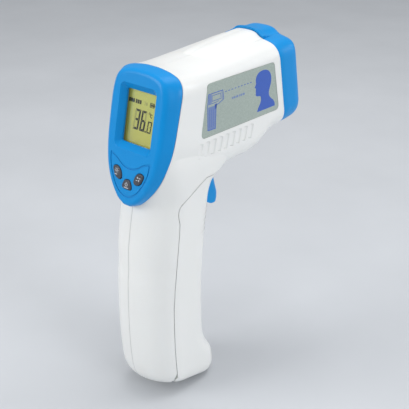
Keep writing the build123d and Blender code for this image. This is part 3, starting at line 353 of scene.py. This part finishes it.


# each shadow colour is used for the painted shade in seams and recesses; on the white it also
# draws the parting hairline
WHITE = moulded("moulded_white", srgb(236, 237, 235), shadow=srgb(120, 124, 124),
                roughness=0.34, coat=0.2, tint=0.012, seam_shade=0.55, bevel=0.0006,
                specular=0.5, subsurface=0.06, parting=True)
BLUE = moulded("moulded_blue", srgb(0, 141, 214), shadow=srgb(0, 96, 172),
               roughness=0.38, coat=0.04, tint=0.03, seam_shade=0.45, bevel=0.00022,
               specular=0.24)
BLACK = matt("matt_black", srgb(34, 35, 38))
SCREW = brushed("zinc_plated_steel", srgb(196, 197, 198), 0.32, stretch=(30.0, 30.0, 1.0))
SPRING = brushed("spring_wire", srgb(205, 206, 208), 0.22, stretch=(8.0, 8.0, 8.0))
NICKEL = brushed("nickel_contact", srgb(214, 210, 198), 0.28, stretch=(1.0, 30.0, 1.0))
DARK = brushed("anodised_dark", srgb(52, 53, 58), 0.34, stretch=(1.0, 20.0, 1.0))
CONE = brushed("polished_reflector", srgb(226, 206, 160), 0.16, stretch=(1.0, 30.0, 1.0))
BOARD = circuit_board()
KEY = key_rubber()
CONTACT = matt("contact_rubber", srgb(150, 96, 140), roughness=0.6)
GUIDE = matt("frosted_guide", srgb(226, 232, 220), roughness=0.4)
CABLE = matt("flat_cable", srgb(206, 204, 192), roughness=0.45)
WIRE = matt("wire_skin", srgb(150, 26, 24), roughness=0.42)
FILTER = matt("ir_filter", srgb(26, 24, 34), roughness=0.12)
FILM = label_film()
INK = ink("label_ink", srgb(58, 98, 190))
INK_SOFT = ink("label_ink_soft", srgb(116, 138, 186))
KEY_INK = ink("key_ink", srgb(206, 210, 218))
LIT = ink("lcd_dark_segment", srgb(26, 27, 16), roughness=0.5)
IDLE = ink("lcd_ghost_segment", srgb(180, 180, 106), roughness=0.5)
LCD = lcd_glass()
WINDOW = window_glass()
CELL = cell_wrap()

# material, then the CAD pieces that wear it
WORN_BY = [
    (WHITE, "housing_left housing_right battery_door"),
    (BLUE, "display_bezel nose_cap trigger"),
    (KEY, "button_left button_center button_right"),
    (BLACK, "key_plunger_left key_plunger_center key_plunger_right key_switches lcd_frame "
            "microcontroller buzzer sensor_bracket trigger_switch trigger_switch_plunger "
            "battery_tray"),
    (WINDOW, "display_window"), (LCD, "lcd_panel"), (GUIDE, "lcd_backlight"),
    (CONTACT, "lcd_contact_strip"), (BOARD, "main_board sensor_board trigger_board"),
    (SCREW, "board_screws housing_screws trigger_pin door_hinge_pin"),
    (DARK, "sensor_tube sensor_socket"), (CONE, "sensor_cone"),
    (NICKEL, "thermopile_can battery_contacts"), (FILTER, "sensor_filter"),
    (CABLE, "sensor_cable"), (SPRING, "trigger_spring battery_springs"),
    (CELL, "battery_cell_left battery_cell_right"), (WIRE, "battery_wires"),
    (FILM, "label_right"),
]
material_of = {piece: material for material, pieces in WORN_BY for piece in pieces.split()}
for name, piece in frame["nodes"].items():
    if not piece.data.materials:
        piece.data.materials.append(material_of[name])
    for slot in piece.material_slots:
        slot.material = material_of[name]


# ---- thin printed plates ---------------------------------------------------------
class Sheet:
    """Collects closed plates on one plane, in mm; they rise along across x up."""

    MITRE_LIMIT = 0.35          # least cosine used when a sharp corner is mitred

    def __init__(self, origin, across, up, thickness):
        self.origin, self.across, self.up = origin, across, up
        self.outward = across.cross(up)
        self.thickness = thickness
        self.bm = bmesh.new()

    def verts(self, points, height):
        return [self.bm.verts.new((self.origin + self.across * x + self.up * y
                                   + self.outward * height) * MM) for x, y in points]

    def plate(self, points):
        count = len(points)
        area = sum(points[i][0] * points[(i + 1) % count][1]
                   - points[(i + 1) % count][0] * points[i][1] for i in range(count))
        if area < 0:
            points = points[::-1]
        top = self.verts(points, self.thickness)
        base = self.verts(points, 0.0)
        self.bm.faces.new(top)
        self.bm.faces.new(base[::-1])
        for i in range(count):
            j = (i + 1) % count
            self.bm.faces.new((top[i], base[i], base[j], top[j]))

    def bar(self, left, bottom, right, top, radius=0.0):
        """Upright rectangle, with rounded corners if a radius is given."""
        if radius <= 0:
            self.plate([(left, bottom), (right, bottom), (right, top), (left, top)])
            return
        corners = [(right - radius, bottom + radius, -90), (right - radius, top - radius, 0),
                   (left + radius, top - radius, 90), (left + radius, bottom + radius, 180)]
        points = []
        for x, y, start in corners:
            for i in range(5):
                angle = math.radians(start + i * 22.5)
                points.append((x + radius * math.cos(angle), y + radius * math.sin(angle)))
        self.plate(points)

    def stroke(self, points, width, closed=False):
        """A mitred line through the points, as one closed strip or ring."""
        count = len(points)
        edges = [(i, (i + 1) % count) for i in range(count if closed else count - 1)]
        directions = [Vector((points[j][0] - points[i][0],
                              points[j][1] - points[i][1])).normalized() for i, j in edges]
        left, right = [], []
        for i, (x, y) in enumerate(points):
            if closed:
                meeting = [directions[i - 1], directions[i]]
            else:
                meeting = directions[max(i - 1, 0):i + 1]
            tangent = sum(meeting, Vector((0, 0))).normalized()
            mitre = 1.0
            if len(meeting) == 2:
                mitre = 1.0 / max(self.MITRE_LIMIT, tangent.dot(meeting[0]))
            shift_x = -tangent.y * width / 2 * mitre
            shift_y = tangent.x * width / 2 * mitre
            left.append((x + shift_x, y + shift_y))
            right.append((x - shift_x, y - shift_y))
        left_top = self.verts(left, self.thickness)
        right_top = self.verts(right, self.thickness)
        left_base = self.verts(left, 0)
        right_base = self.verts(right, 0)
        faces = []
        for i, j in edges:
            faces += [(right_top[i], right_top[j], left_top[j], left_top[i]),
                      (right_base[i], left_base[i], left_base[j], right_base[j]),
                      (left_top[i], left_top[j], left_base[j], left_base[i]),
                      (right_top[i], right_base[i], right_base[j], right_top[j])]
        if not closed:
            faces += [(right_top[0], left_top[0], left_base[0], right_base[0]),
                      (right_top[-1], right_base[-1], left_base[-1], left_top[-1])]
        for face in faces:
            self.bm.faces.new(face)

    def arc(self, x, y, radius, start, end, width, steps, closed=False):
        """Curved stroke about (x, y) between two angles in degrees."""
        angles = [math.radians(start + (end - start) * i / steps)
                  for i in range(steps + (0 if closed else 1))]
        self.stroke([(x + radius * math.cos(a), y + radius * math.sin(a)) for a in angles],
                    width, closed)

    def finish(self, name, material, body, slot):
        mesh = bpy.data.meshes.new(name)
        bmesh.ops.recalc_face_normals(self.bm, faces=self.bm.faces)
        self.bm.to_mesh(mesh)
        self.bm.free()
        plates = bpy.data.objects.new(name, mesh)
        scene.collection.objects.link(plates)
        mesh.materials.append(material)
        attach(plates, body)


# ---- display face: x runs to +X and y up the tilted face, from its top point -------
FACE_TILT = math.radians(12.0)
FACE_TOP = Vector((0, -38.73, 156.36))
FACE_NORMAL = Vector((0, -math.cos(FACE_TILT), math.sin(FACE_TILT)))
FACE_UP = Vector((0, math.sin(FACE_TILT), math.cos(FACE_TILT)))
LCD_DEPTH = 4.60                # display graphics lie this far below the face
KEY_RISE = 0.600                # key marks stand this far above it


def face_sheet(rise, thickness):
    origin = FACE_TOP + FACE_NORMAL * rise
    return Sheet(origin, Vector((1, 0, 0)), FACE_UP, thickness)


# ---- display graphics ------------------------------------------------------------
DIGIT_SLANT = math.tan(math.radians(5.0))
LIT_GAP = 0.08
# left, top, width, height, lit segments, lit stroke, idle segments, idle stroke, idle gap
WHOLE_DIGITS = [
    (-4.6, -13.55, 3.3, 8.9, "abgcd", 1.0, "fe", 0.9, 0.1),
    (-0.66, -13.55, 3.05, 8.9, "afgedc", 1.0, "b", 0.9, 0.1),
]
TENTHS_DIGIT = (3.4, -17.3, 2.45, 5.15, "abcdef", 0.6, "g", 0.6, 0.08)


def segments(sheet, left, top, width, height, letters, stroke, gap):
    """Some segments of a seven-segment digit: a is the top, on clockwise to f, g the middle."""
    half = stroke / 2
    near = stroke + gap
    tip = stroke * 0.55 + gap
    bottom, middle = -height, -height / 2
    # end of an upright segment beside the middle: outer, centre and inner corner offsets
    outer, centre, inner = gap * 0.6, gap * 0.2, stroke * 0.55
    shapes = {
        "a": [(gap, 0), (width - gap, 0), (width - near, -stroke), (near, -stroke)],
        "b": [(width, -gap), (width, middle + outer), (width - half, middle + centre),
              (width - stroke, middle + inner), (width - stroke, -near)],
        "c": [(width, middle - outer), (width, bottom + gap), (width - stroke, bottom + near),
              (width - stroke, middle - inner), (width - half, middle - centre)],
        "d": [(gap, bottom), (near, bottom + stroke), (width - near, bottom + stroke),
              (width - gap, bottom)],
        "e": [(0, middle - outer), (half, middle - centre), (stroke, middle - inner),
              (stroke, bottom + near), (0, bottom + gap)],
        "f": [(0, -gap), (stroke, -near), (stroke, middle + inner), (half, middle + centre),
              (0, middle + outer)],
        "g": [(tip, middle), (near, middle + half), (width - near, middle + half),
              (width - tip, middle), (width - near, middle - half), (near, middle - half)],
    }
    for letter in letters:
        sheet.plate([(left + x + y * DIGIT_SLANT, top + y) for x, y in shapes[letter]])


def lcd_graphics():
    lit = face_sheet(-LCD_DEPTH, 0.035)
    idle = face_sheet(-LCD_DEPTH, 0.02)

    def digit(left, top, width, height, on, on_stroke, off, off_stroke, off_gap):
        segments(lit, left, top, width, height, on, on_stroke, LIT_GAP)
        segments(idle, left, top, width, height, off, off_stroke, off_gap)

    for entry in WHOLE_DIGITS:
        digit(*entry)
    lit.bar(1.95, -22.5, 2.72, -21.75, radius=0.12)         # decimal point
    digit(*TENTHS_DIGIT)
    # degree ring and hook of the unit mark
    lit.arc(3.72, -14.1, 0.42, 0, 360, width=0.22, steps=12, closed=True)
    lit.arc(4.92, -14.95, 0.66, 50, 310, width=0.34, steps=12)
    # two groups of three blocks along the top
    for group_left in (-9.3, -5.25):
        for i in range(3):
            left = group_left + 1.22 * i
            lit.bar(left, -11.35, left + 1.02, -9.65, radius=0.1)
    # battery mark: case, terminal and three charge bars
    lit.stroke([(3.45, -11.3), (5.75, -11.3), (5.75, -9.65), (3.45, -9.65)], 0.28, closed=True)
    lit.bar(5.95, -10.85, 6.25, -10.1)
    for i in range(3):
        left = 3.74 + 0.64 * i
        lit.bar(left, -11.0, left + 0.5, -9.95)
    # two idle marks between the blocks and the battery
    idle.bar(0.1, -11.2, 0.45, -9.6)
    idle.bar(0.75, -11.2, 1.9, -9.9, radius=0.2)
    lit.finish("lcd_segments", LIT, "housing", "lcd_glass")
    idle.finish("lcd_idle_segments", IDLE, "housing", "lcd_glass")


lcd_graphics()


# ---- key symbols -----------------------------------------------------------------
MARK_THICKNESS = 0.03


def left_key_mark():
    """Sun with eight rays over a short bar."""
    sheet = face_sheet(KEY_RISE, MARK_THICKNESS)
    x, y = -6.7, -40.75
    sheet.arc(x, y, 0.5, 0, 360, width=0.23, steps=14, closed=True)
    for degrees in range(0, 360, 45):
        cos, sin = math.cos(math.radians(degrees)), math.sin(math.radians(degrees))
        sheet.stroke([(x + r * cos, y + r * sin) for r in (0.82, 1.18)], 0.21)
    sheet.bar(x - 1.0, y - 2.0, x + 0.5, y - 1.66, radius=0.08)
    sheet.finish("key_mark_left", KEY_INK, "button_left", "charcoal_key")


def center_key_mark():
    """Power ring with its stroke, over a short bar."""
    sheet = face_sheet(KEY_RISE, MARK_THICKNESS)
    sheet.arc(0, -45.4, 0.7, 125, 415, width=0.24, steps=18)
    sheet.stroke([(0, -44.3), (0, -45.3)], 0.24)
    sheet.bar(-1.35, -47.0, 1.35, -46.65, radius=0.08)
    sheet.finish("key_mark_center", KEY_INK, "button_center", "charcoal_key")


def right_key_mark():
    """Up and down arrows, each with a short bar beside it."""
    sheet = face_sheet(KEY_RISE, MARK_THICKNESS)
    x, y = 6.6, -41.3
    sheet.plate([(x - 0.9, y + 0.35), (x + 0.1, y + 0.35), (x - 0.4, y + 1.22)])
    sheet.plate([(x - 0.1, y - 0.2), (x + 0.9, y - 0.2), (x + 0.4, y - 1.07)])
    sheet.bar(x + 0.35, y + 0.42, x + 1.3, y + 0.74, radius=0.08)
    sheet.bar(x - 1.25, y - 0.8, x - 0.35, y - 0.48, radius=0.08)
    sheet.finish("key_mark_right", KEY_INK, "button_right", "charcoal_key")


left_key_mark()
center_key_mark()
right_key_mark()


# ---- label artwork: points are (Y, Z) in mm on the label's +X face -----------------
# pictogram of the instrument: line width, closed, points
PICTOGRAM_LINES = [
    (0.34, True, [(-17.3, 148.3), (-8.2, 148.3), (-7.5, 144.2), (-10.6, 143.0),
                  (-12.4, 142.7), (-12.8, 132.2), (-17.7, 132.4), (-17.9, 143.0)]),
    (0.24, True, [(-15.0, 147.3), (-9.7, 147.3), (-9.2, 144.9), (-15.0, 144.9)]),
    (0.24, False, [(-8.9, 147.9), (-8.3, 144.3)]),
    (0.24, False, [(-17.4, 143.9), (-12.6, 143.9), (-10.9, 144.3)]),
]
PICTOGRAM_TRIGGER = [(-13.4, 143.0), (-12.0, 143.3), (-12.2, 141.2), (-13.2, 141.0)]
PICTOGRAM_TINTS = [
    [(-17.5, 142.7), (-12.6, 142.6), (-13.0, 132.4), (-17.5, 132.6)],
    [(-17.1, 148.0), (-15.3, 148.0), (-15.3, 144.2), (-17.4, 144.1)],
]
# start and end Y of the bars below the aiming line
NOTE_BARS = [(-2.2, -1.5), (-1.1, 0.3), (0.8, 2.2), (2.8, 3.6), (3.9, 4.9), (5.2, 6.6)]
# head and shoulders in profile, as shares of the head height: distance behind the face,
# height above the chin, and a third value 1 where the outline has a corner
HEAD_PROFILE = [
    (0.46, 1.0), (0.28, 0.965), (0.155, 0.885), (0.095, 0.79), (0.075, 0.69), (0.085, 0.61),
    (0.105, 0.555), (0.065, 0.48), (0.025, 0.415), (0.045, 0.378), (0.10, 0.362),
    (0.098, 0.315), (0.082, 0.285), (0.105, 0.258), (0.088, 0.225), (0.108, 0.185),
    (0.098, 0.12), (0.125, 0.055), (0.20, 0.02), (0.32, 0.0), (0.40, -0.03), (0.435, -0.12),
    (0.43, -0.24), (0.37, -0.36), (0.27, -0.50), (0.22, -0.635, 1), (1.36, -0.635, 1),
    (1.33, -0.50), (1.24, -0.37), (1.08, -0.25), (0.97, -0.13), (0.93, 0.02), (0.97, 0.16),
    (1.03, 0.32), (1.06, 0.50), (1.04, 0.67), (0.96, 0.82), (0.83, 0.93), (0.65, 0.99),
]
HEAD_HEIGHT = 11.6
HEAD_DEPTH = HEAD_HEIGHT * 0.99
FACE_Y = 13.3
CHIN_Z = 139.3


def smooth_closed(points, steps):
    """Closed Catmull-Rom curve; a point with a third value stays a corner."""
    curve = []
    count = len(points)
    for i, start in enumerate(points):
        before, end, after = points[i - 1], points[(i + 1) % count], points[(i + 2) % count]
        chord = (end[0] - start[0], end[1] - start[1])
        leave = arrive = chord
        if len(start) == 2:
            leave = ((end[0] - before[0]) / 2, (end[1] - before[1]) / 2)
        if len(end) == 2:
            arrive = ((after[0] - start[0]) / 2, (after[1] - start[1]) / 2)
        for j in range(steps):
            t = j / steps
            weights = (2 * t ** 3 - 3 * t ** 2 + 1, t ** 3 - 2 * t ** 2 + t,
                       -2 * t ** 3 + 3 * t ** 2, t ** 3 - t ** 2)
            curve.append(tuple(
                sum(weight * part[axis] for weight, part in
                    zip(weights, (start, leave, end, arrive))) for axis in (0, 1)))
    return curve


def label_art():
    label_face = Vector((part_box("label_right")[1].x / MM, 0, 0))
    plane = (label_face, Vector((0, 1, 0)), Vector((0, 0, 1)))
    artwork = Sheet(*plane, 0.02)
    tint = Sheet(*plane, 0.012)
    for width, closed, points in PICTOGRAM_LINES:
        artwork.stroke(points, width, closed)
    artwork.plate(PICTOGRAM_TRIGGER)
    for i in range(3):                                      # lines down the grip
        artwork.stroke([(-16.7 + 1.3 * i, 141.6), (-16.6 + 1.3 * i, 133.4)], 0.16)
    for points in PICTOGRAM_TINTS:
        tint.plate(points)
    for i in range(9):                                      # dashed aiming line
        start = -6.6 + 2.1 * i
        artwork.stroke([(start, 147.15), (start + 1.05, 147.17)], 0.34)
    for start, end in NOTE_BARS:
        tint.bar(start, 142.6, end, 143.6, radius=0.15)
    head = [(FACE_Y + y * HEAD_DEPTH, CHIN_Z + z * HEAD_HEIGHT, *corner)
            for y, z, *corner in HEAD_PROFILE]
    artwork.plate(smooth_closed(head, steps=5))
    artwork.finish("label_artwork", INK, "housing", "label_film")
    tint.finish("label_tint", INK_SOFT, "housing", "label_film")


label_art()


# ---- studio, in metres: pale floor, soft lights, camera ----------------------------
FLOOR_RADII = [0.08, 0.16, 0.3, 0.6, 1.2, 2.4, 4.5]
FLOOR_SEGMENTS = 72
FLOOR_DROP = 0.00005            # clearance below the product


def floor():
    """Disc of concentric rings just under the product."""
    mesh = bpy.data.meshes.new("studio_floor")
    bm = bmesh.new()
    z = min(0.0, cad_low.z) - FLOOR_DROP
    angles = [2 * math.pi * i / FLOOR_SEGMENTS for i in range(FLOOR_SEGMENTS)]
    inner = [bm.verts.new((0, 0, z))]
    for radius in FLOOR_RADII:
        ring = [bm.verts.new((radius * math.cos(a), radius * math.sin(a), z)) for a in angles]
        for i in range(FLOOR_SEGMENTS):
            j = (i + 1) % FLOOR_SEGMENTS
            if len(inner) == 1:
                bm.faces.new((inner[0], ring[i], ring[j]))
            else:
                bm.faces.new((inner[i], ring[i], ring[j], inner[j]))
        inner = ring
    bm.to_mesh(mesh)
    bm.free()
    disc = bpy.data.objects.new("studio_floor", mesh)
    scene.collection.objects.link(disc)
    mesh.materials.append(floor_material())


LIGHT_TARGET = Vector((0.0, 0.0, 0.10))
# name, location, side of the square, power in watts, colour
LIGHTS = [
    ("key_soft", (-0.45, -0.75, 0.50), 0.5, 4.5, (1.0, 0.995, 0.985)),
    ("fill_right", (1.05, -0.10, 0.42), 0.40, 3.6, (0.98, 0.99, 1.0)),
    ("top_soft", (0.05, 0.15, 0.95), 0.6, 3.9, (1.0, 1.0, 1.0)),
    ("rim_front", (0.45, 0.75, 0.30), 0.3, 1.0, (1.0, 1.0, 1.0)),
]


def area_light(name, location, size, power, color):
    light = bpy.data.lights.new(name, "AREA")
    light.energy = power
    light.color = color
    light.shape = "RECTANGLE"
    light.size = size
    light.size_y = size
    lamp = bpy.data.objects.new(name, light)
    scene.collection.objects.link(lamp)
    lamp.location = location
    aim = LIGHT_TARGET - Vector(location)
    lamp.rotation_euler = aim.to_track_quat("-Z", "Y").to_euler()


def world():
    """Soft grey surroundings, brighter overhead."""
    studio = bpy.data.worlds.new("studio")
    scene.world = studio
    studio.use_nodes = True
    nodes, links = studio.node_tree.nodes, studio.node_tree.links
    background = nodes["Background"]
    coords = nodes.new("ShaderNodeTexCoord")
    axes = nodes.new("ShaderNodeSeparateXYZ")
    ramp = nodes.new("ShaderNodeValToRGB")
    low, high = ramp.color_ramp.elements
    low.position, low.color = 0.0, (0.52, 0.53, 0.55, 1)
    high.position, high.color = 0.7, (0.92, 0.94, 0.97, 1)
    links.new(coords.outputs["Generated"], axes.inputs[0])
    links.new(axes.outputs["Z"], ramp.inputs["Fac"])
    links.new(ramp.outputs["Color"], background.inputs["Color"])
    background.inputs["Strength"].default_value = 0.56


CAMERA_AZIMUTH = math.radians(42.1)         # from -Y toward +X
CAMERA_ELEVATION = math.radians(26.1)
CAMERA_DISTANCE = 0.38564
CAMERA_TARGET = Vector((0.0, 0.00094, 0.08454))


def camera():
    level = math.cos(CAMERA_ELEVATION)
    toward_camera = Vector((math.sin(CAMERA_AZIMUTH) * level,
                            -math.cos(CAMERA_AZIMUTH) * level,
                            math.sin(CAMERA_ELEVATION)))
    data = bpy.data.cameras.new("camera")
    viewer = bpy.data.objects.new("camera", data)
    scene.collection.objects.link(viewer)
    viewer.location = CAMERA_TARGET + toward_camera * CAMERA_DISTANCE
    viewer.rotation_euler = (-toward_camera).to_track_quat("-Z", "Y").to_euler()
    data.sensor_width = 36.0
    data.lens = 70.415648
    data.clip_start = 0.01
    data.clip_end = 20.0
    scene.camera = viewer


floor()
for entry in LIGHTS:
    area_light(*entry)
world()
camera()
